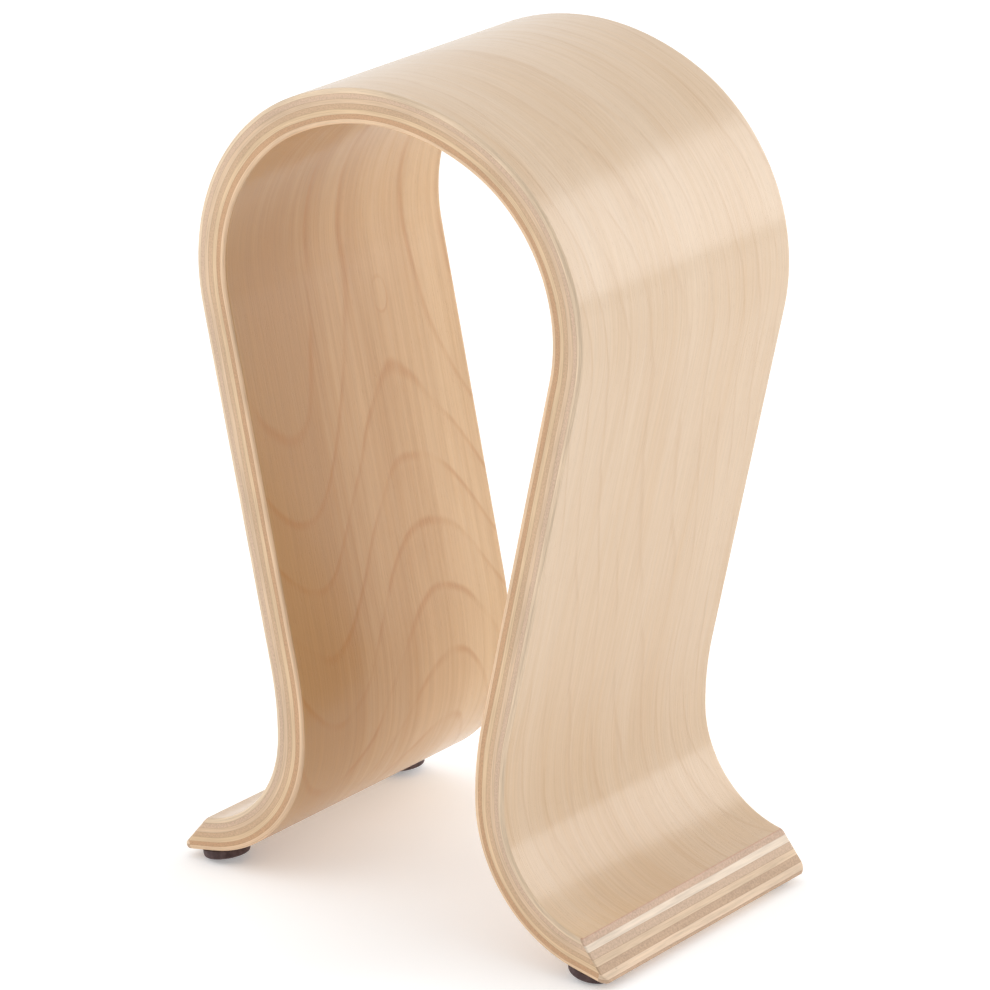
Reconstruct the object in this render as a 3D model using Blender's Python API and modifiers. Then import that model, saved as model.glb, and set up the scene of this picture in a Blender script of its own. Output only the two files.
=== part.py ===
"""A headphone stand: seven bent plies glued into one arch, standing on four stick-on pads.

Metres, +Z up. X runs from foot to foot, Y from the front edge of the board to its back edge.
The origin is on the desk, under the middle of the arch.
"""

import math

import bmesh
import bpy
from mathutils import Matrix, Vector

# The board: its plies, and the outer face's path from the crown down to one foot.
DEPTH = 0.100
BOARD_THICKNESS = 0.0103
PLY_COUNT = 7
GLUE_LINE = 0.00005
CROWN_RADIUS = 0.080
CROWN_HALF_TURN = math.radians(27.2)
SHOULDER_RADIUS = 0.060
LEG_LEAN = math.radians(12.4)
LEG_LENGTH = 0.110
ANKLE_RADIUS = 0.0953
ANKLE_TURN = math.radians(13.6)
FOOT_RADIUS = 0.0340
FOOT_SLOPE = math.radians(11.0)
FOOT_LENGTH = 0.0006

# The trimmed end of each foot, with its rounded corners, and the softened long edges.
END_CUT_SLANT = math.radians(50.4)
NOSE_RADIUS = 0.0008
CORNER_RADIUS = 0.0028
ARRIS_RADIUS = 0.0009
ARRIS_SEGMENTS = 2

# The pads.
PAD_RADIUS = 0.0071
PAD_THICKNESS = 0.0029
PAD_EDGE_RADIUS = 0.0009
PAD_REACH = 0.0080
PAD_SIDE_INSET = 0.0008
ADHESIVE_RADIUS = 0.0066
ADHESIVE_THICKNESS = 0.00025
CONTACT_GAP = 0.00003

# How finely round stretches are divided.
CROWN_STEPS = 6
SHOULDER_STEPS = 20
ANKLE_STEPS = 4
FOOT_STEPS = 18
CORNER_STEPS = 3
PAD_SIDES = 36
PAD_EDGE_SEGMENTS = 3

# Distances under this are the same point.
SAME_POINT = 1e-6

PLY_NAMES = (
    "outer_face_veneer",
    "outer_cross_ply",
    "outer_core_ply",
    "middle_cross_ply",
    "inner_core_ply",
    "inner_cross_ply",
    "inner_face_veneer",
)
FACE_VENEER = ((0.78, 0.60, 0.43), 0.38)
LONG_GRAIN_PLY = ((0.80, 0.62, 0.42), 0.50)
CROSS_GRAIN_PLY = ((0.58, 0.40, 0.27), 0.55)
PLY_FINISHES = (
    FACE_VENEER,
    CROSS_GRAIN_PLY,
    LONG_GRAIN_PLY,
    CROSS_GRAIN_PLY,
    LONG_GRAIN_PLY,
    CROSS_GRAIN_PLY,
    FACE_VENEER,
)
PAD_FINISH = ((0.045, 0.022, 0.019), 0.55)
ADHESIVE_FINISH = ((0.55, 0.53, 0.50), 0.70)


def clear_scene():
    for old in list(bpy.data.objects):
        bpy.data.objects.remove(old, do_unlink=True)


def add_collection(name):
    collection = bpy.data.collections.new(name)
    bpy.context.scene.collection.children.link(collection)
    return collection


def finish_object(obj, finish):
    """Gives an object a material of its own, with the finish's colour and roughness."""
    colour, roughness = finish
    material = bpy.data.materials.new(obj.name)
    material.use_nodes = True
    shader = material.node_tree.nodes["Principled BSDF"]
    shader.inputs["Base Color"].default_value = (*colour, 1.0)
    shader.inputs["Roughness"].default_value = roughness
    shader.inputs["Metallic"].default_value = 0.0
    obj.data.materials.clear()
    obj.data.materials.append(material)


def along(heading):
    return Vector((math.cos(heading), math.sin(heading)))


def into_board(heading):
    """The direction from the outer face into the board, where the path has this heading."""
    return Vector((math.sin(heading), -math.cos(heading)))


def add_bend(stations, radius, turn, steps):
    """Carries the path round an arc. A positive turn is anticlockwise."""
    point, heading = stations[-1]
    side = math.copysign(radius, turn)
    centre = point - into_board(heading) * side
    for step in range(1, steps + 1):
        angle = heading + turn * step / steps
        stations.append((centre + into_board(angle) * side, angle))


def add_straight(stations, length):
    point, heading = stations[-1]
    stations.append((point + along(heading) * length, heading))


def outer_path():
    """Stations (point, heading) along the outer face, from the crown at (0, 0) to the right foot's end."""
    stations = [(Vector((0.0, 0.0)), 0.0)]
    leg_heading = -math.pi / 2 - LEG_LEAN
    add_bend(stations, CROWN_RADIUS, -CROWN_HALF_TURN, CROWN_STEPS)
    add_bend(stations, SHOULDER_RADIUS, leg_heading + CROWN_HALF_TURN, SHOULDER_STEPS)
    add_straight(stations, LEG_LENGTH)
    add_bend(stations, ANKLE_RADIUS, ANKLE_TURN, ANKLE_STEPS)
    foot_turn = -FOOT_SLOPE - leg_heading - ANKLE_TURN
    add_bend(stations, FOOT_RADIUS, foot_turn, FOOT_STEPS)
    add_straight(stations, FOOT_LENGTH)
    return stations


def nose_centre():
    """(reach, depth) of the rounded nose: past the outer face's end, and under the outer face."""
    sharp_corner = BOARD_THICKNESS * math.tan(END_CUT_SLANT)
    half_angle = (math.pi / 2 - END_CUT_SLANT) / 2
    return sharp_corner - NOSE_RADIUS / math.tan(half_angle), BOARD_THICKNESS - NOSE_RADIUS


def end_reach(depth, across):
    """How far a ply runs past the outer face's end, at this depth and place from front to back."""
    centre_reach, centre_depth = nose_centre()
    touch_depth = centre_depth - NOSE_RADIUS * math.sin(END_CUT_SLANT)
    reach = depth * math.tan(END_CUT_SLANT)
    if depth > touch_depth:
        fall = min(depth - centre_depth, NOSE_RADIUS)
        reach = centre_reach + math.sqrt(NOSE_RADIUS**2 - fall**2)
    past_corner = max(abs(across) - (DEPTH / 2 - CORNER_RADIUS), 0.0)
    inset = CORNER_RADIUS - math.sqrt(max(CORNER_RADIUS**2 - past_corner**2, 0.0))
    return min(reach, centre_reach + NOSE_RADIUS - inset)


def across_places():
    """Places from the front edge to the back edge: only the rounded corners need divisions."""
    straight = DEPTH / 2 - CORNER_RADIUS
    half = [
        straight + CORNER_RADIUS * math.sin(math.pi / 2 * step / CORNER_STEPS)
        for step in range(CORNER_STEPS + 1)
    ]
    return [-place for place in reversed(half)] + half


def ply_rows(top, bottom):
    """(depth, inset from the side) of each row of points through a ply."""
    softened = []
    for step in range(ARRIS_SEGMENTS + 1):
        angle = math.pi / 2 * step / ARRIS_SEGMENTS
        depth = ARRIS_RADIUS * (1 - math.cos(angle))
        softened.append((depth, ARRIS_RADIUS * (1 - math.sin(angle))))
    if top < SAME_POINT:
        return softened + [(bottom, 0.0)]
    if bottom > BOARD_THICKNESS - SAME_POINT:
        under = [(BOARD_THICKNESS - depth, inset) for depth, inset in reversed(softened)]
        return [(top, 0.0)] + under
    return [(top, 0.0), (bottom, 0.0)]


def ply_section(station, across, rows, ends_foot):
    """One station's points for the right half, as rows of points from front to back."""
    point, heading = station
    section = []
    for place in across:
        column = []
        for depth, inset in rows:
            reach = end_reach(depth, place) if ends_foot else 0.0
            flat = point + along(heading) * reach + into_board(heading) * depth
            column.append(Vector((flat.x, place * (1 - 2 * inset / DEPTH), flat.y)))
        section.append(column)
    return section


def mirrored(section):
    return [[Vector((-point.x, point.y, point.z)) for point in column] for column in section]


def add_sheet(shape, sheet):
    """Faces between neighbouring vertices of a sheet of them."""
    for first, second in zip(sheet, sheet[1:]):
        for corners in zip(first, second, second[1:], first[1:]):
            shape.faces.new(corners)


def build_ply(name, stations, top, bottom, collection):
    """A closed mesh of one ply, from the left foot's trimmed end to the right one's."""
    across = across_places()
    rows = ply_rows(top, bottom)
    right = [ply_section(station, across, rows, False) for station in stations[:-1]]
    right.append(ply_section(stations[-1], across, rows, True))
    block = [mirrored(section) for section in reversed(right[1:])] + right
    last_row = len(rows) - 1
    shape = bmesh.new()
    grid = []
    for number, section in enumerate(block):
        at_end = number in (0, len(block) - 1)
        plane = []
        for column_number, column in enumerate(section):
            at_side = column_number in (0, len(section) - 1)
            plane.append(
                [
                    shape.verts.new(point)
                    if at_end or at_side or row in (0, last_row)
                    else None
                    for row, point in enumerate(column)
                ]
            )
        grid.append(plane)
    add_sheet(shape, grid[0])
    add_sheet(shape, grid[-1])
    add_sheet(shape, [plane[0] for plane in grid])
    add_sheet(shape, [plane[-1] for plane in grid])
    add_sheet(shape, [[column[0] for column in plane] for plane in grid])
    add_sheet(shape, [[column[-1] for column in plane] for plane in grid])
    bmesh.ops.recalc_face_normals(shape, faces=shape.faces)
    bmesh.ops.dissolve_limit(
        shape, angle_limit=math.radians(0.1), verts=shape.verts, edges=shape.edges
    )
    mesh = bpy.data.meshes.new(name)
    shape.to_mesh(mesh)
    shape.free()
    ply = bpy.data.objects.new(name, mesh)
    collection.objects.link(ply)
    return ply


def build_board(collection):
    stations = outer_path()
    ply_thickness = (BOARD_THICKNESS - GLUE_LINE * (PLY_COUNT - 1)) / PLY_COUNT
    plies = []
    for index, (name, finish) in enumerate(zip(PLY_NAMES, PLY_FINISHES)):
        top = index * (ply_thickness + GLUE_LINE)
        ply = build_ply(name, stations, top, top + ply_thickness, collection)
        finish_object(ply, finish)
        ply.data.shade_smooth()
        ply.data.set_sharp_from_angle(angle=math.radians(30))
        plies.append(ply)
    return plies


def foot_matrix(side, front, depth):
    """Places a pad's local frame under a foot: +Z into the board, +X towards the foot's end."""
    end_point, heading = outer_path()[-1]
    reach = PAD_REACH - PAD_RADIUS
    centre = end_point + along(heading) * reach + into_board(heading) * depth
    x_axis = Vector((side * math.cos(heading), 0.0, math.sin(heading)))
    z_axis = Vector((-side * math.sin(heading), 0.0, math.cos(heading)))
    y_axis = z_axis.cross(x_axis)
    inset = DEPTH / 2 - PAD_SIDE_INSET - PAD_RADIUS
    place = Matrix((x_axis, y_axis, z_axis)).transposed().to_4x4()
    place.translation = (side * centre.x, front * inset, centre.y)
    return place


def build_disc(name, radius, thickness, place, collection):
    """A disc whose top is at its origin."""
    mesh = bpy.data.meshes.new(name)
    shape = bmesh.new()
    bmesh.ops.create_cone(
        shape,
        cap_ends=True,
        segments=PAD_SIDES,
        radius1=radius,
        radius2=radius,
        depth=thickness,
        matrix=Matrix.Translation((0.0, 0.0, -thickness / 2)),
    )
    shape.to_mesh(mesh)
    shape.free()
    disc = bpy.data.objects.new(name, mesh)
    disc.matrix_world = place
    collection.objects.link(disc)
    return disc


def build_pad(corner, side, front, collection):
    adhesive_depth = BOARD_THICKNESS + CONTACT_GAP
    adhesive = build_disc(
        corner + "_pad_adhesive",
        ADHESIVE_RADIUS,
        ADHESIVE_THICKNESS,
        foot_matrix(side, front, adhesive_depth),
        collection,
    )
    finish_object(adhesive, ADHESIVE_FINISH)
    pad_depth = adhesive_depth + ADHESIVE_THICKNESS + CONTACT_GAP
    pad = build_disc(
        corner + "_pad",
        PAD_RADIUS,
        PAD_THICKNESS,
        foot_matrix(side, front, pad_depth),
        collection,
    )
    finish_object(pad, PAD_FINISH)
    bevel = pad.modifiers.new("rounded_rim", "BEVEL")
    bevel.limit_method = "ANGLE"
    bevel.width = PAD_EDGE_RADIUS
    bevel.segments = PAD_EDGE_SEGMENTS
    pad.data.shade_smooth()
    pad.data.set_sharp_from_angle(angle=math.radians(50))
    return [adhesive, pad]


def stand_on_desk(objects):
    """Raises everything until the lowest point of a pad is at z = 0."""
    bpy.context.view_layer.update()
    graph = bpy.context.evaluated_depsgraph_get()
    lowest = 0.0
    for obj in objects:
        mesh = obj.evaluated_get(graph).to_mesh()
        lowest = min(lowest, min((obj.matrix_world @ vertex.co).z for vertex in mesh.vertices))
        obj.evaluated_get(graph).to_mesh_clear()
    for obj in objects:
        obj.location.z -= lowest


def build_stand():
    clear_scene()
    collection = add_collection("headphone_stand")
    objects = build_board(collection)
    corners = (
        ("left_front", -1, -1),
        ("left_back", -1, 1),
        ("right_front", 1, -1),
        ("right_back", 1, 1),
    )
    for corner, side, front in corners:
        objects += build_pad(corner, side, front, collection)
    stand_on_desk(objects)


build_stand()
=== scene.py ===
import math

import bmesh
import bpy
import numpy as np
from mathutils import Matrix, Vector


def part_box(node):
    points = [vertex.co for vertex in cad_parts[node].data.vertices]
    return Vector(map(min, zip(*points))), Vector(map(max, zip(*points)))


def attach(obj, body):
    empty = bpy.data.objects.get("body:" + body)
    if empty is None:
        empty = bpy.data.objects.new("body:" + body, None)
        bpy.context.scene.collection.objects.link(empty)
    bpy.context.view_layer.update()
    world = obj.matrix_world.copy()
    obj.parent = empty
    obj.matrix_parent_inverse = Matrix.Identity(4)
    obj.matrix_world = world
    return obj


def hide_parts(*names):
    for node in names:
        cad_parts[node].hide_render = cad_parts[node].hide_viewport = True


# The board's outer path, from the crown down to one foot. Lengths are metres, angles radians.
CROWN_RADIUS = 0.080
CROWN_HALF_TURN = math.radians(27.2)
SHOULDER_RADIUS = 0.060
LEG_LEAN = math.radians(12.4)
LEG_LENGTH = 0.110
ANKLE_RADIUS = 0.0953
ANKLE_TURN = math.radians(13.6)
FOOT_RADIUS = 0.0340
FOOT_SLOPE = math.radians(11.0)
FOOT_LENGTH = 0.0006

# The foot's slanting end cut, its small nose, its corners in plan and its short edges.
END_CUT_SLANT = math.radians(50.4)
NOSE_RADIUS = 0.0008
CORNER_RADIUS = 0.0028
END_EDGE_RADIUS = 0.0005

# The rounding of the face veneers' long edges, and the glue between two plies.
ARRIS_RADIUS = 0.0010
GLUE_THICKNESS = 0.00005

# The pads, their tape, and the gap between a pad and its tape.
PAD_THICKNESS = 0.0029
PAD_RIM_RADIUS = 0.0010
PAD_TOP_ROUNDING = 0.35 * PAD_RIM_RADIUS
PAD_FLAT_INSET = 1.8 * PAD_RIM_RADIUS
# The underside's rise inside the rim, halfway to the middle and in the middle.
PAD_DISH_RISES = (0.00003, 0.00008, 0.00010)
TAPE_THICKNESS = 0.00025
TAPE_RIM_SHARE = 0.6
CONTACT_GAP = 0.00003

# How finely the shapes are divided.
LONGEST_STEP = 0.0035
LARGEST_TURN = math.radians(2.5)
TAIL_STEPS = 5
ARRIS_STEPS = 5
CORNER_STEPS = 9
MIDDLE_STEPS = 6
PLY_ROWS = 4
LATHE_SIDES = 72
PAD_TOP_STEPS = 4
PAD_RIM_STEPS = 7

# Edges that turn by more than this stay sharp.
BOARD_SHARP_ANGLE = math.radians(35)
LATHE_SHARP_ANGLE = math.radians(50)

# The plies, from the outer face inwards. A cross ply's grain runs from front to back.
PLIES = (
    ("outer_face_veneer", "face_veneer"),
    ("outer_cross_ply", "cross_grain_ply"),
    ("outer_core_ply", "long_grain_ply"),
    ("middle_cross_ply", "cross_grain_ply"),
    ("inner_core_ply", "long_grain_ply"),
    ("inner_cross_ply", "cross_grain_ply"),
    ("inner_face_veneer", "face_veneer"),
)
PLY_COUNT = len(PLIES)
BODY = "root"

# The order of a ply's materials.
FACE_FINISH, SIDE_FINISH, END_FINISH = range(3)

# The waves of a joint between plies: share of the height, radians per metre along the run,
# radians from one joint to the next, radians per metre across.
GLUE_WAVES = (
    (0.5, 71.0, 2.1, 9.0),
    (0.3, 173.0, 4.7, -37.0),
    (0.2, 401.0, 1.3, 83.0),
)
GLUE_WAVE_SHARE = 0.09

# Veneer colours: early wood, late wood, ring lines and the painted highlight along the long edges.
OUTER_COLOURS = (
    (0.690, 0.520, 0.360, 1.0),
    (0.625, 0.428, 0.255, 1.0),
    (0.540, 0.340, 0.190, 1.0),
    (0.820, 0.690, 0.530, 1.0),
)
INNER_COLOURS = (
    (0.690, 0.475, 0.264, 1.0),
    (0.515, 0.298, 0.124, 1.0),
    (0.470, 0.205, 0.050, 1.0),
    (0.820, 0.690, 0.530, 1.0),
)
# Each ply's colour on the board's long edges, and on the trimmed ends of the feet.
SIDE_COLOURS = (
    (0.800, 0.620, 0.440),
    (0.690, 0.495, 0.350),
    (0.740, 0.540, 0.365),
    (0.655, 0.447, 0.285),
    (0.760, 0.550, 0.345),
    (0.612, 0.372, 0.215),
    (0.805, 0.570, 0.370),
)
END_COLOURS = (
    (0.600, 0.415, 0.300),
    (0.800, 0.665, 0.530),
    (0.590, 0.420, 0.295),
    (0.700, 0.520, 0.355),
    (0.530, 0.360, 0.235),
    (0.750, 0.565, 0.400),
    (0.540, 0.370, 0.250),
)
SPOT_COLOUR = (0.22, 0.11, 0.05, 1.0)
GLUE_COLOUR = (0.34, 0.20, 0.11, 1.0)
RED_GLUE_COLOUR = (0.50, 0.26, 0.17, 1.0)
RUBBER_COLOURS = ((0.070, 0.041, 0.041, 1.0), (0.125, 0.082, 0.082, 1.0))
TAPE_COLOURS = ((0.50, 0.48, 0.44, 1.0), (0.66, 0.64, 0.60, 1.0))
WHITE = (1.0, 1.0, 1.0, 1.0)
FLOOR_COLOUR = (0.86, 0.86, 0.86, 1.0)

# Finish: how glossy the wood, the rubber and the tape are, and how deep their grain is.
SPECULAR_LEVEL = 0.25
COAT_ROUGHNESS = 0.20
VENEER_COAT = 0.7
VENEER_BUMP = 0.00008
EDGE_COAT = 0.10
EDGE_BUMP = 0.00007
RUBBER_BUMP = 0.00003
TAPE_BUMP = 0.00004

# Grain, as cycles per metre along the run, across the board and through it.
VENEER_PATCHES = (5.0, 40.0, 0.0)
VENEER_STREAKS = (9.0, 420.0, 0.0)
VENEER_FIBRES = (34.0, 1300.0, 900.0)
VENEER_PORES = (380.0, 4200.0, 2600.0)
RING_WANDER = (22.0, 60.0, 0.0)
MINERAL_MARKS = (55.0, 900.0, 0.0)
EDGE_STREAKS = (60.0, 60.0, 2600.0)
EDGE_PATCHES = (35.0, 35.0, 300.0)
EDGE_SPOTS = (240.0, 240.0, 900.0)
EDGE_SPECK_DEPTH = 2400.0
FLECKED_GRAIN = 1500.0
DRAWN_GRAIN = 60.0
RUBBER_GRAIN = (5200.0, 5200.0, 5200.0)
RUBBER_DUST = (420.0, 420.0, 420.0)
TAPE_CELLS = (9000.0, 9000.0, 9000.0)

# The painted highlight band along the long edges: where it begins and where it is full, from the
# edge.
EDGE_HIGHLIGHT_BAND = (0.0016, 0.0004)

# The side the studio is darkest on, and the cosines to it where the dark begins and is full.
DARK_SIDE = (0.50, -0.86, 0.05)
DARK_FADE = (0.3, 0.9)
FLOOR_SIZE = 8.0
FLOOR_GLOW = 0.28

# The view. The camera is AIM_DISTANCE from a point just off the stand's middle line.
AIM_RIGHT = 0.0018
AIM_BACK = -0.0015
AIM_BELOW_CROWN = 0.1326
AIM_DISTANCE = 1.6224
CAMERA_AZIMUTH = math.radians(37.712)
CAMERA_ELEVATION = math.radians(20.327)
CAMERA_LENS = 202.57
CAMERA_SENSOR = 36.0
CAMERA_CLIP = (0.05, 30.0)

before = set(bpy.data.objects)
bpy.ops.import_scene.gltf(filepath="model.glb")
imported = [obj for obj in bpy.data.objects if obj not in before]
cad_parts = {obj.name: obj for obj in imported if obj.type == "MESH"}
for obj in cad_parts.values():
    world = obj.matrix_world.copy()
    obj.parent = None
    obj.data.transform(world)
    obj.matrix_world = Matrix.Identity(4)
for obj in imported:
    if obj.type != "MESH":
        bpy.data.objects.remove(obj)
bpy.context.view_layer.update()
OUTER_LOW, OUTER_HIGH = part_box(PLIES[0][0])
INNER_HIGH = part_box(PLIES[-1][0])[1]
CROWN_HEIGHT = OUTER_HIGH[2]
DEPTH = OUTER_HIGH[1] - OUTER_LOW[1]
# A ply and its glue, and the whole board, which has one glue line fewer than plies.
PLY_PITCH = (CROWN_HEIGHT - INNER_HIGH[2]) / (PLY_COUNT - 1)
THICKNESS = PLY_PITCH * PLY_COUNT - GLUE_THICKNESS
AIM = Vector((AIM_RIGHT, AIM_BACK, CROWN_HEIGHT - AIM_BELOW_CROWN))


# ---------------------------------------------------------------- the board's shape


class BoardPath:
    """The outer face's path by its run, the arc length from the crown: positive to the right."""

    def __init__(self):
        self.stretches = []
        self.length = 0.0
        self.end = (0.0, CROWN_HEIGHT, 0.0)
        leg_heading = -math.pi / 2 - LEG_LEAN
        self.add(CROWN_RADIUS * CROWN_HALF_TURN, -1 / CROWN_RADIUS)
        shoulder_turn = -leg_heading - CROWN_HALF_TURN
        self.add(SHOULDER_RADIUS * shoulder_turn, -1 / SHOULDER_RADIUS)
        self.add(LEG_LENGTH, 0.0)
        self.add(ANKLE_RADIUS * ANKLE_TURN, 1 / ANKLE_RADIUS)
        foot_turn = -FOOT_SLOPE - leg_heading - ANKLE_TURN
        self.add(FOOT_RADIUS * foot_turn, 1 / FOOT_RADIUS)
        self.bend_end = self.length
        self.add(FOOT_LENGTH, 0.0)

    def add(self, length, curvature):
        self.stretches.append((self.length, length, curvature, self.end))
        x, z, heading = self.along(np.array([length]), curvature, self.end)
        self.end = (float(x[0]), float(z[0]), float(heading[0]))
        self.length += length

    @staticmethod
    def along(run, curvature, start):
        x, z, heading = start
        if curvature == 0.0:
            turned = np.full_like(run, heading)
            return x + run * math.cos(heading), z + run * math.sin(heading), turned
        turned = heading + curvature * run
        across = (np.sin(turned) - math.sin(heading)) / curvature
        rise = (math.cos(heading) - np.cos(turned)) / curvature
        return x + across, z + rise, turned

    def place(self, run, depth):
        """x and z of points at this run, this far under the outer face."""
        side = np.where(run < 0, -1.0, 1.0)
        distance = np.abs(run)
        x = np.zeros_like(distance)
        z = np.zeros_like(distance)
        for begin, _, curvature, start in self.stretches:
            # Points beyond this stretch are written again by the stretches that follow.
            here = distance >= begin
            path_x, path_z, heading = self.along(distance[here] - begin, curvature, start)
            x[here] = path_x + np.sin(heading) * depth[here]
            z[here] = path_z - np.cos(heading) * depth[here]
        return x * side, z

    def stations(self):
        """Runs of the cross-sections, from the left foot's last bend to the right foot's."""
        half = [0.0]
        for begin, length, curvature, _ in self.stretches[:-1]:
            step = LONGEST_STEP
            if curvature:
                step = min(step, LARGEST_TURN / abs(curvature))
            count = math.ceil(length / step)
            half += [begin + length * index / count for index in range(1, count + 1)]
        return np.array([-run for run in reversed(half[1:])] + half)


PATH = BoardPath()


def edge_inset(across, radius):
    """How far an edge rounded to this radius falls back, at each place across the board."""
    past = np.maximum(np.abs(across) - (DEPTH / 2 - radius), 0.0)
    return radius - np.sqrt(np.maximum(radius**2 - past**2, 0.0))


def end_reach(depth, across):
    """How far the trimmed end runs past the outer face's end at each depth and place across."""
    slope = math.tan(END_CUT_SLANT)
    half_angle = (math.pi / 2 - END_CUT_SLANT) / 2
    centre_reach = THICKNESS * slope - NOSE_RADIUS / math.tan(half_angle)
    centre_depth = THICKNESS - NOSE_RADIUS
    touch_depth = centre_depth - NOSE_RADIUS * math.sin(END_CUT_SLANT)
    fall = np.clip(depth - centre_depth, -NOSE_RADIUS, NOSE_RADIUS)
    rounded = centre_reach + np.sqrt(NOSE_RADIUS**2 - fall**2)
    reach = np.where(depth < touch_depth, depth * slope, rounded)
    reach = reach - edge_inset(across, END_EDGE_RADIUS)
    return np.minimum(reach, centre_reach + NOSE_RADIUS - edge_inset(across, CORNER_RADIUS))


def glue_line(index, run, across):
    """Depth of the joint above the ply of this index: wavy inside, true on the two faces."""
    level = THICKNESS * index / PLY_COUNT
    if index in (0, PLY_COUNT):
        return np.full_like(run, level)
    held = np.clip(run, -PATH.length, PATH.length)
    wave = 0.0
    for share, along_rate, joint_shift, across_rate in GLUE_WAVES:
        wave += share * np.sin(held * along_rate + index * joint_shift + across * across_rate)
    return level + wave * PLY_PITCH * GLUE_WAVE_SHARE


def quarter_turn(steps):
    """Angles from 0 to a right angle, in this many equal steps."""
    return [math.pi / 2 * step / steps for step in range(steps + 1)]


def ply_rows(index):
    """(share of the ply's thickness, inset from the side) of each row through the ply."""
    rounded = [
        (ARRIS_RADIUS * (1 - math.cos(a)) / PLY_PITCH, ARRIS_RADIUS * (1 - math.sin(a)))
        for a in quarter_turn(ARRIS_STEPS)
    ]
    if index == 0:
        return rounded + [(1.0, 0.0)]
    if index == PLY_COUNT - 1:
        return [(0.0, 0.0)] + [(1 - share, inset) for share, inset in reversed(rounded)]
    return [(row / PLY_ROWS, 0.0) for row in range(PLY_ROWS + 1)]


def across_shares():
    """Places from the front edge to the back edge, -1 to 1, close together at the corners."""
    corner = CORNER_RADIUS * 2 / DEPTH
    back = [1 - corner * (1 - math.sin(angle)) for angle in quarter_turn(CORNER_STEPS)]
    middle = [step / MIDDLE_STEPS for step in range(1 - MIDDLE_STEPS, MIDDLE_STEPS)]
    return np.array([-share for share in reversed(back)] + middle + back)


def ply_points(index):
    """A ply's positions, wood coordinates and layer shares, by station, column and row."""
    rows = ply_rows(index)
    share = np.array([row[0] for row in rows])
    inset = np.array([row[1] for row in rows])
    columns = across_shares()
    across = columns[:, None] * (DEPTH / 2 - inset[None, :])
    place = np.broadcast_to(columns[:, None] * DEPTH / 2, across.shape)

    def depth_at(run):
        upper = glue_line(index, run, across)
        lower = glue_line(index + 1, run, across)
        return upper + (lower - upper) * share[None, :]

    runs = [np.full_like(across, station) for station in PATH.stations()]
    for side in (1.0, -1.0):
        last = np.full_like(across, side * PATH.length)
        reach = end_reach(depth_at(last), place)
        tail = []
        for step in range(1, TAIL_STEPS + 1):
            run = PATH.bend_end + (PATH.length + reach - PATH.bend_end) * step / TAIL_STEPS
            tail.append(side * run)
        runs = runs + tail if side > 0 else list(reversed(tail)) + runs
    run = np.array(runs)
    depth = np.array([depth_at(each) for each in runs])
    x, z = PATH.place(run, depth)
    y = np.broadcast_to(across, run.shape)
    layer = np.broadcast_to(share, run.shape)
    return np.stack([x, y, z], -1), np.stack([run, y, depth], -1), layer


def grid_surface(shape):
    """Quads over the six sides of a block of points, each with its side and its strip there."""
    index = np.arange(np.prod(shape)).reshape(shape)
    sides = {
        "first_end": index[0],
        "last_end": index[-1],
        "front": index[:, 0],
        "back": index[:, -1],
        "top": index[:, :, 0],
        "bottom": index[:, :, -1],
    }
    for side, sheet in sides.items():
        for a in range(sheet.shape[0] - 1):
            for b in range(sheet.shape[1] - 1):
                corners = (sheet[a, b], sheet[a + 1, b], sheet[a + 1, b + 1], sheet[a, b + 1])
                yield side, b, [int(corner) for corner in corners]


def finish_of(index, side, strip):
    """The material of a ply's quad. A face veneer's face takes in the outermost edge strip."""
    if side in ("top", "bottom"):
        return FACE_FINISH
    if side in ("first_end", "last_end"):
        return END_FINISH
    outermost = {0: 0, PLY_COUNT - 1: ARRIS_STEPS}
    return FACE_FINISH if outermost.get(index) == strip else SIDE_FINISH


def build_ply(index, materials):
    node, slot = PLIES[index]
    places, wood, layer = ply_points(index)
    shape = places.shape[:3]
    places, wood, layer = places.reshape(-1, 3), wood.reshape(-1, 3), layer.reshape(-1)
    faces = []
    finishes = []
    for side, strip, corners in grid_surface(shape):
        faces.append(corners)
        finishes.append(finish_of(index, side, strip))
    used = np.unique(np.array(faces))
    renumbered = np.full(len(places), -1)
    renumbered[used] = np.arange(len(used))
    mesh = bpy.data.meshes.new(node + "_wood")
    mesh.from_pydata(places[used].tolist(), [], renumbered[np.array(faces)].tolist())
    mesh.update()
    attribute = mesh.attributes.new("wood", "FLOAT_VECTOR", "POINT")
    attribute.data.foreach_set("vector", wood[used].astype(np.float32).ravel())
    attribute = mesh.attributes.new("layer", "FLOAT", "POINT")
    attribute.data.foreach_set("value", layer[used].astype(np.float32))
    for material in materials:
        mesh.materials.append(material)
    mesh.polygons.foreach_set("material_index", np.array(finishes, np.int32))
    shape_edit = bmesh.new()
    shape_edit.from_mesh(mesh)
    bmesh.ops.recalc_face_normals(shape_edit, faces=shape_edit.faces)
    shape_edit.to_mesh(mesh)
    shape_edit.free()
    mesh.shade_smooth()
    mesh.set_sharp_from_angle(angle=BOARD_SHARP_ANGLE)
    piece = bpy.data.objects.new(node + "_wood", mesh)
    bpy.context.scene.collection.objects.link(piece)
    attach(piece, BODY)
    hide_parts(node)


# ---------------------------------------------------------------- materials


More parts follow.
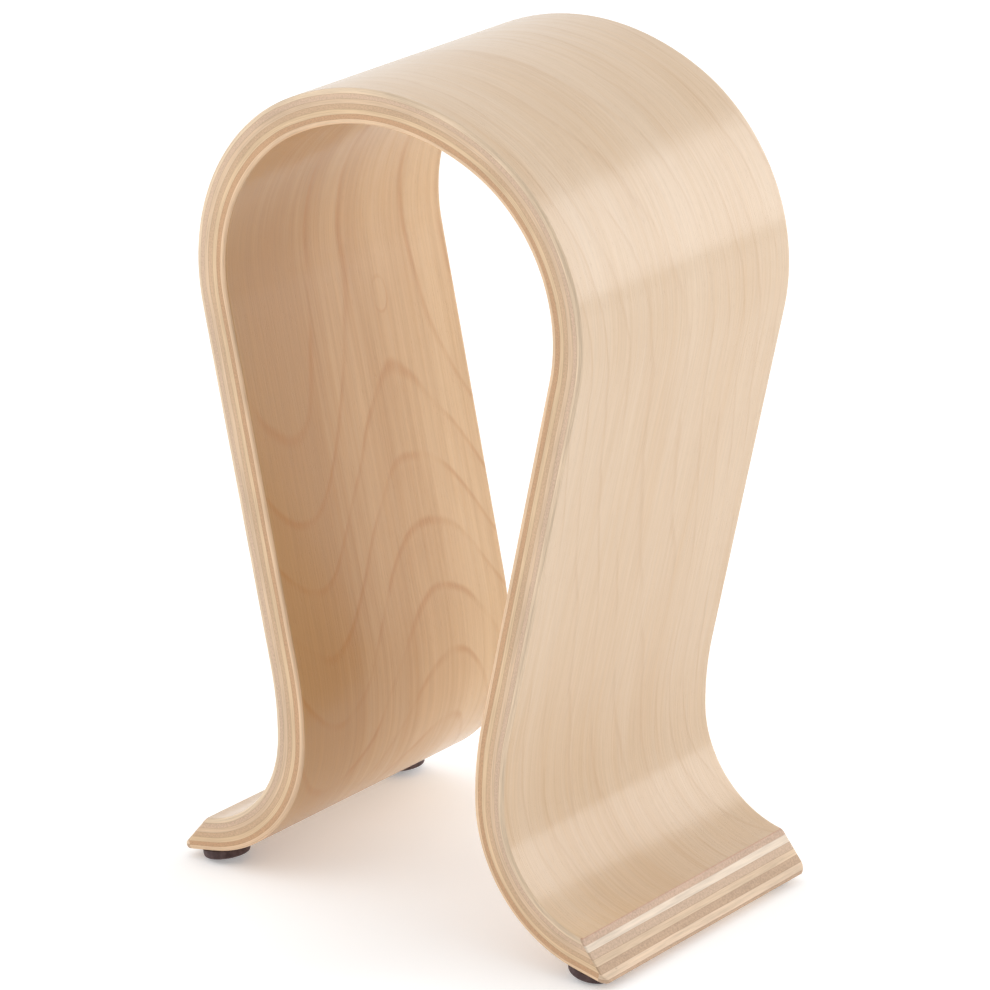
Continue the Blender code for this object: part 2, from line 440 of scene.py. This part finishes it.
class Shader:
    """A material's node tree, with plain calls for the nodes between its inputs."""

    def __init__(self, name):
        self.material = bpy.data.materials.new(name)
        self.material.use_nodes = True
        self.tree = self.material.node_tree
        self.surface = self.tree.nodes["Principled BSDF"]

    def plug(self, socket, value):
        if isinstance(value, bpy.types.NodeSocket):
            self.tree.links.new(value, socket)
        else:
            socket.default_value = value

    def node(self, kind, inputs, **settings):
        made = self.tree.nodes.new("ShaderNode" + kind)
        for key, value in settings.items():
            setattr(made, key, value)
        for key, value in inputs.items():
            self.plug(made.inputs[key], value)
        return made

    def maths(self, operation, *values):
        return self.node("Math", dict(enumerate(values)), operation=operation).outputs[0]

    def add(self, first, second):
        return self.maths("ADD", first, second)

    def subtract(self, first, second):
        return self.maths("SUBTRACT", first, second)

    def multiply(self, first, second):
        return self.maths("MULTIPLY", first, second)

    def attribute(self, name, output):
        return self.node("Attribute", {}, attribute_name=name).outputs[output]

    def split(self, vector):
        return self.node("SeparateXYZ", {"Vector": vector}).outputs

    def join(self, x, y, z):
        return self.node("CombineXYZ", {"X": x, "Y": y, "Z": z}).outputs[0]

    def noise(self, vector, scale, detail=2.0, roughness=0.5):
        """Noise from 0 to 1. Scale is cycles per metre along each of the vector's axes."""
        stretched = self.node("VectorMath", {0: vector, 1: scale}, operation="MULTIPLY")
        inputs = {
            "Vector": stretched.outputs[0],
            "Scale": 1.0,
            "Detail": detail,
            "Roughness": roughness,
        }
        return self.node("TexNoise", inputs).outputs["Fac"]

    def ramp(self, value, low, high, out_low=0.0, out_high=1.0):
        """A smooth step from out_low to out_high as the value goes from low to high."""
        inputs = {0: value, 1: low, 2: high, 3: out_low, 4: out_high}
        return self.node("MapRange", inputs, interpolation_type="SMOOTHSTEP").outputs[0]

    def mix(self, factor, first, second, blend="MIX"):
        inputs = {0: factor, 6: first, 7: second}
        return self.node("Mix", inputs, data_type="RGBA", blend_type=blend).outputs[2]

    def finish(self, colour, roughness, height, bump_depth, coat=0.0):
        bump = self.node("Bump", {"Height": height, "Strength": 1.0, "Distance": bump_depth})
        self.plug(self.surface.inputs["Base Color"], colour)
        self.plug(self.surface.inputs["Roughness"], roughness)
        self.plug(self.surface.inputs["Normal"], bump.outputs[0])
        self.surface.inputs["Specular IOR Level"].default_value = SPECULAR_LEVEL
        self.surface.inputs["Coat Weight"].default_value = coat
        self.surface.inputs["Coat Roughness"].default_value = COAT_ROUGHNESS
        return self.material


def ring_line(shader, phase):
    """Growth rings, one for each whole number of the phase: a thin line behind a soft rise."""
    peak = 0.88
    soft_share = 0.25
    saw = shader.maths("FRACT", phase)
    soft = shader.ramp(saw, 0.15, peak, 0.0, soft_share)
    thin = shader.ramp(saw, 0.76, peak, 0.0, 1.0 - soft_share)
    fall = shader.ramp(saw, peak, 0.97, 1.0, 0.0)
    return shader.multiply(shader.add(soft, thin), fall)


def veneer_material(name, figure, colours, line_strength):
    """Lacquered birch face. figure(shader, wood) gives its rings' phase and a broad darkening,
    which on the inner face is painted shade.
    """
    pore_strength = 0.14
    pore_depth = 0.6
    edge_highlight_strength = 0.2
    shader = Shader(name)
    cream, peach, line_colour, edge_highlight_colour = colours
    wood = shader.attribute("wood", "Vector")
    from_middle = shader.maths("ABSOLUTE", shader.split(wood)["Y"])
    patches = shader.noise(wood, VENEER_PATCHES, detail=3.0, roughness=0.55)
    streaks = shader.noise(wood, VENEER_STREAKS, roughness=0.6)
    fibres = shader.noise(wood, VENEER_FIBRES, detail=3.0, roughness=0.65)
    pores = shader.ramp(shader.noise(wood, VENEER_PORES, detail=1.0), 0.62, 0.76)
    marks = shader.noise(wood, MINERAL_MARKS, detail=1.0)
    wander = shader.noise(wood, RING_WANDER)

    # The base tone: broad patches, the figure's broad darkening (painted shade on the inner face)
    # and fine streaks.
    phase, darkening_and_painted_shade = figure(shader, wood)
    tone = shader.add(shader.ramp(patches, 0.30, 0.72, 0.0, 0.5), darkening_and_painted_shade)
    tone = shader.add(tone, shader.ramp(streaks, 0.3, 0.75, -0.10, 0.20))
    colour = shader.mix(tone, cream, peach)

    # The ring lines, which come and go along their length.
    line = shader.multiply(ring_line(shader, phase), shader.ramp(wander, 0.34, 0.60, 0.15, 1.0))
    colour = shader.mix(shader.multiply(line, line_strength), colour, line_colour)

    # Fibres, pores, mineral marks and a painted highlight along the long edges.
    shade = shader.ramp(fibres, 0.25, 0.75, 0.955, 1.035)
    colour = shader.mix(1.0, colour, shader.join(shade, shade, shade), blend="MULTIPLY")
    colour = shader.mix(shader.multiply(pores, pore_strength), colour, line_colour)
    colour = shader.mix(shader.ramp(marks, 0.77, 0.84, 0.0, 0.45), colour, line_colour)
    # Painted highlight: the face pales towards its long edges, as if the rounded arris caught the
    # light.
    highlight_begin, highlight_full = (DEPTH / 2 - margin for margin in EDGE_HIGHLIGHT_BAND)
    painted_edge_highlight = shader.ramp(from_middle, highlight_begin, highlight_full, 0.0, edge_highlight_strength)
    colour = shader.mix(painted_edge_highlight, colour, edge_highlight_colour)

    roughness = shader.ramp(fibres, 0.2, 0.8, 0.40, 0.52)
    height = shader.subtract(fibres, shader.multiply(pores, pore_depth))
    return shader.finish(colour, roughness, height, VENEER_BUMP, VENEER_COAT)


def bend(shader, value, knee, softness):
    """Nothing before the knee, then the value past it: a rounded corner between the two."""
    past = shader.maths("DIVIDE", shader.subtract(value, knee), softness)
    grown = shader.add(shader.maths("EXPONENT", past), 1.0)
    return shader.multiply(shader.maths("LOGARITHM", grown, math.e), softness)


def straight_figure(shader, wood):
    """Quiet straight grain that drifts towards the back edge on its way down each leg."""
    rings_per_metre = 105.0
    drift_slope = 0.21
    wave_rings = 5.5
    ripple_rings = 0.45
    parts = shader.split(wood)
    distance = shader.maths("ABSOLUTE", parts["X"])
    drift = bend(shader, distance, knee=0.085, softness=0.020)
    wave = shader.noise(wood, (4.5, 15.0, 0.0), detail=1.0)
    ripple = shader.noise(wood, (40.0, 50.0, 0.0))
    place = shader.subtract(parts["Y"], shader.multiply(drift, drift_slope))
    phase = shader.multiply(place, rings_per_metre)
    phase = shader.add(phase, shader.multiply(wave, wave_rings))
    phase = shader.add(phase, shader.multiply(ripple, ripple_rings))
    # The second value darkens the face towards the feet.
    return phase, shader.ramp(distance, 0.02, 0.30, 0.0, 0.3)


def flame_figure(shader, wood):
    """Crown-cut figure: nested arches low on each leg, straightening towards the crown."""
    rings_per_metre = 50.0
    arch_middle = 0.017
    arch_radians_per_metre = 61.6
    arch_height = 0.024
    knee_softness = 0.012
    eye_run = -0.1315
    eye_across = 0.0155
    eye_height = 0.020
    wobble_height = 0.022
    parts = shader.split(wood)
    turned = shader.multiply(shader.subtract(parts["Y"], arch_middle), arch_radians_per_metre)
    arch = shader.multiply(shader.maths("COSINE", turned), -arch_height)
    left = bend(shader, shader.multiply(parts["X"], -1.0), knee=0.150, softness=knee_softness)
    right = bend(shader, parts["X"], knee=0.120, softness=knee_softness)
    field = shader.add(shader.subtract(right, left), arch)

    # An eye in the left leg's figure: closed rings round one point.
    eye_x = shader.multiply(shader.add(parts["X"], -eye_run), 130.0)
    eye_y = shader.multiply(shader.subtract(parts["Y"], eye_across), 230.0)
    squares = [shader.maths("POWER", offset, 2.0) for offset in (eye_x, eye_y)]
    eye = shader.maths("EXPONENT", shader.multiply(shader.add(*squares), -1.0))
    field = shader.add(field, shader.multiply(eye, eye_height))

    wobble = shader.noise(wood, (10.0, 22.0, 0.0), roughness=0.45)
    field = shader.add(field, shader.multiply(wobble, wobble_height))
    # Painted shade: the inner face darkens towards its front edge, where the other leg shades it.
    darkening_and_painted_shade = shader.ramp(parts["Y"], -0.05, 0.03, 1.0, 0.0)
    return shader.multiply(field, rings_per_metre), darkening_and_painted_shade


def edge_material(name, colour, grain, red_top=False):
    """A ply's sanded edge: grain is cycles per metre along the run and across the board.

    red_top gives it a reddish line under its outer face in place of its glue lines.
    """
    glue_groove = 0.6
    shader = Shader(name)
    wood = shader.attribute("wood", "Vector")
    layer = shader.attribute("layer", "Fac")
    light = (*(min(channel * 1.10, 1.0) for channel in colour), 1.0)
    dark = (*(channel * 0.80 for channel in colour), 1.0)
    streaks = shader.noise(wood, EDGE_STREAKS, detail=3.0, roughness=0.6)
    specks = shader.noise(wood, (*grain, EDGE_SPECK_DEPTH), detail=3.0, roughness=0.65)
    patches = shader.noise(wood, EDGE_PATCHES, detail=1.0)
    spots = shader.noise(wood, EDGE_SPOTS, detail=1.0)
    tone = shader.multiply(streaks, 0.20)
    tone = shader.add(tone, shader.multiply(specks, 0.60))
    tone = shader.add(tone, shader.multiply(patches, 0.20))
    colour = shader.mix(shader.ramp(tone, 0.34, 0.70), light, dark)
    colour = shader.mix(shader.ramp(spots, 0.79, 0.86, 0.0, 0.5), colour, SPOT_COLOUR)
    if red_top:
        glue_colour = RED_GLUE_COLOUR
        glue = shader.ramp(layer, 0.02, 0.22, 0.60, 0.0)
    else:
        glue_colour = GLUE_COLOUR
        from_middle = shader.maths("ABSOLUTE", shader.subtract(layer, 0.5))
        glue = shader.ramp(from_middle, 0.42, 0.5, 0.0, 0.42)
    colour = shader.mix(glue, colour, glue_colour)
    roughness = shader.ramp(specks, 0.2, 0.8, 0.45, 0.60)
    height = shader.subtract(specks, shader.multiply(glue, glue_groove))
    return shader.finish(colour, roughness, height, EDGE_BUMP, EDGE_COAT)


def rubber_material():
    shader = Shader("brown_rubber")
    place = shader.node("TexCoord", {}).outputs["Object"]
    grain = shader.noise(place, RUBBER_GRAIN)
    dust = shader.noise(place, RUBBER_DUST, detail=3.0)
    colour = shader.mix(shader.ramp(dust, 0.35, 0.75), *RUBBER_COLOURS)
    roughness = shader.ramp(grain, 0.2, 0.8, 0.48, 0.66)
    return shader.finish(colour, roughness, grain, RUBBER_BUMP)


def tape_material():
    shader = Shader("foam_tape")
    place = shader.node("TexCoord", {}).outputs["Object"]
    cells = shader.noise(place, TAPE_CELLS)
    colour = shader.mix(cells, *TAPE_COLOURS)
    roughness = shader.ramp(cells, 0.2, 0.8, 0.6, 0.8)
    return shader.finish(colour, roughness, cells, TAPE_BUMP)


def build_board():
    """The seven plies. On a trimmed end a ply shows its grain the other way round."""
    outer = veneer_material("outer_birch", straight_figure, OUTER_COLOURS, line_strength=0.32)
    inner = veneer_material("inner_birch", flame_figure, INNER_COLOURS, line_strength=0.46)
    drawn = (DRAWN_GRAIN, DRAWN_GRAIN)
    for index in range(PLY_COUNT):
        crossed = index % 2 == 1
        face = inner if index == PLY_COUNT - 1 else outer
        side_grain = (FLECKED_GRAIN, DRAWN_GRAIN) if crossed else drawn
        end_grain = drawn if crossed else (DRAWN_GRAIN, FLECKED_GRAIN)
        name = PLIES[index][0]
        side = edge_material(name + "_side", SIDE_COLOURS[index], side_grain)
        end = edge_material(name + "_end", END_COLOURS[index], end_grain, red_top=index == 0)
        build_ply(index, (face, side, end))


# ---------------------------------------------------------------- the pads


def lathe(name, profile, place, material):
    """A closed turned mesh from (radius, height) points, from the top's middle to the bottom's."""
    mesh = bpy.data.meshes.new(name)
    shape = bmesh.new()
    rings = []
    for radius, height in profile:
        ring = []
        for step in range(LATHE_SIDES if radius else 1):
            angle = 2 * math.pi * step / LATHE_SIDES
            point = (radius * math.cos(angle), radius * math.sin(angle), height)
            ring.append(shape.verts.new(point))
        rings.append(ring)
    for upper, lower in zip(rings, rings[1:]):
        for step in range(LATHE_SIDES):
            after = (step + 1) % LATHE_SIDES
            corners = [upper[step % len(upper)], lower[step % len(lower)]]
            corners += [lower[after % len(lower)], upper[after % len(upper)]]
            shape.faces.new(list(dict.fromkeys(corners)))
    bmesh.ops.recalc_face_normals(shape, faces=shape.faces)
    shape.to_mesh(mesh)
    shape.free()
    mesh.transform(place)
    mesh.materials.append(material)
    mesh.shade_smooth()
    mesh.set_sharp_from_angle(angle=LATHE_SHARP_ANGLE)
    piece = bpy.data.objects.new(name, mesh)
    bpy.context.scene.collection.objects.link(piece)
    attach(piece, BODY)
    return piece


def pad_profile(radius):
    """Half a section of the pad: flat top, upright side, rounded rim, faintly dished bottom."""
    half = PAD_THICKNESS / 2
    profile = [(0.0, half), (radius * 0.5, half)]
    for angle in reversed(quarter_turn(PAD_TOP_STEPS)):
        out = radius - PAD_TOP_ROUNDING * (1 - math.cos(angle))
        profile.append((out, half - PAD_TOP_ROUNDING * (1 - math.sin(angle))))
    for angle in quarter_turn(PAD_RIM_STEPS):
        out = radius - PAD_RIM_RADIUS * (1 - math.cos(angle))
        profile.append((out, -half + PAD_RIM_RADIUS * (1 - math.sin(angle))))
    outs = (radius - PAD_FLAT_INSET, radius * 0.5, 0.0)
    return profile + [(out, -half + rise) for out, rise in zip(outs, PAD_DISH_RISES)]


def tape_profile(radius):
    """Half a section of the tape, with a softened rim."""
    half = TAPE_THICKNESS / 2
    rim = half * TAPE_RIM_SHARE
    inner = radius * 0.6
    upper = [(0.0, half), (inner, half), (radius - rim, half), (radius, half - rim)]
    return upper + [(out, -height) for out, height in reversed(upper)]


def pad_place(side, tape_centre, drop):
    """A frame this far under the tape's middle: +X towards the foot's end, +Z into the board."""
    x_axis = Vector((side * math.cos(FOOT_SLOPE), 0.0, -math.sin(FOOT_SLOPE)))
    z_axis = Vector((side * math.sin(FOOT_SLOPE), 0.0, math.cos(FOOT_SLOPE)))
    place = Matrix((x_axis, z_axis.cross(x_axis), z_axis)).transposed().to_4x4()
    place.translation = tape_centre - z_axis * drop
    return place


def build_pads(rubber, tape):
    for corner in ("left_front", "left_back", "right_front", "right_back"):
        side = -1 if corner.startswith("left") else 1
        low, high = (Vector(point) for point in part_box(corner + "_pad_adhesive"))
        centre = (low + high) / 2
        profile = tape_profile((high.y - low.y) / 2)
        film = lathe(corner + "_pad_tape", profile, pad_place(side, centre, 0.0), tape)
        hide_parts(corner + "_pad_adhesive")
        low, high = (Vector(point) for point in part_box(corner + "_pad"))
        profile = pad_profile((high.y - low.y) / 2)
        drop = TAPE_THICKNESS / 2 + CONTACT_GAP + PAD_THICKNESS / 2
        pad = lathe(corner + "_pad_rubber", profile, pad_place(side, centre, drop), rubber)
        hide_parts(corner + "_pad")


# ---------------------------------------------------------------- the studio


def add_floor():
    """A matt pale floor with a faint even light of its own, to keep it near white."""
    bpy.ops.mesh.primitive_plane_add(size=FLOOR_SIZE, location=(0.0, 0.0, 0.0))
    floor = bpy.context.object
    floor.name = "floor"
    shader = Shader("pale_floor")
    shader.surface.inputs["Base Color"].default_value = FLOOR_COLOUR
    shader.surface.inputs["Roughness"].default_value = 1.0
    shader.surface.inputs["Specular IOR Level"].default_value = 0.0
    shader.surface.inputs["Emission Color"].default_value = WHITE
    shader.surface.inputs["Emission Strength"].default_value = FLOOR_GLOW
    floor.data.materials.append(shader.material)


def add_softbox(name, towards, distance, width, height, radiance):
    """A rectangular light in this direction from the stand, facing it."""
    light = bpy.data.lights.new(name, "AREA")
    light.shape = "RECTANGLE"
    light.size = width
    light.size_y = height
    light.energy = radiance * math.pi * width * height
    lamp = bpy.data.objects.new(name, light)
    direction = Vector(towards).normalized()
    lamp.location = AIM + direction * distance
    lamp.rotation_euler = direction.to_track_quat("Z", "Y").to_euler()
    bpy.context.scene.collection.objects.link(lamp)


def set_world(dark, light):
    """White light from all round, dark towards DARK_SIDE."""
    world = bpy.data.worlds.new("studio")
    world.use_nodes = True
    bpy.context.scene.world = world
    tree = world.node_tree
    coordinates = tree.nodes.new("ShaderNodeTexCoord")
    facing = tree.nodes.new("ShaderNodeVectorMath")
    facing.operation = "DOT_PRODUCT"
    facing.inputs[1].default_value = DARK_SIDE
    fade = tree.nodes.new("ShaderNodeMapRange")
    fade.interpolation_type = "SMOOTHSTEP"
    fade.inputs["From Min"].default_value = DARK_FADE[0]
    fade.inputs["From Max"].default_value = DARK_FADE[1]
    fade.inputs["To Min"].default_value = light
    fade.inputs["To Max"].default_value = dark
    background = tree.nodes["Background"]
    background.inputs["Color"].default_value = WHITE
    tree.links.new(coordinates.outputs["Generated"], facing.inputs[0])
    tree.links.new(facing.outputs["Value"], fade.inputs["Value"])
    tree.links.new(fade.outputs[0], background.inputs["Strength"])


def add_camera():
    """The view from the right and above, with a long lens."""
    level = math.cos(CAMERA_ELEVATION)
    x = math.sin(CAMERA_AZIMUTH) * level
    y = -math.cos(CAMERA_AZIMUTH) * level
    back = Vector((x, y, math.sin(CAMERA_ELEVATION)))
    data = bpy.data.cameras.new("camera")
    data.sensor_width = CAMERA_SENSOR
    data.lens = CAMERA_LENS
    data.clip_start = CAMERA_CLIP[0]
    data.clip_end = CAMERA_CLIP[1]
    camera = bpy.data.objects.new("camera", data)
    camera.location = AIM + back * AIM_DISTANCE
    camera.rotation_euler = back.to_track_quat("Z", "Y").to_euler()
    bpy.context.scene.collection.objects.link(camera)
    bpy.context.scene.camera = camera


build_board()
build_pads(rubber_material(), tape_material())
add_floor()
set_world(dark=0.05, light=1.02)
add_softbox("front_left", (-0.55, -0.85, 0.50), distance=0.9, width=0.8, height=0.8, radiance=1.15)
add_softbox("back_right", (0.545, 0.779, 0.325), distance=1.6, width=1.3, height=0.98, radiance=2.6)
add_camera()
bpy.context.scene.view_settings.view_transform = "Standard"
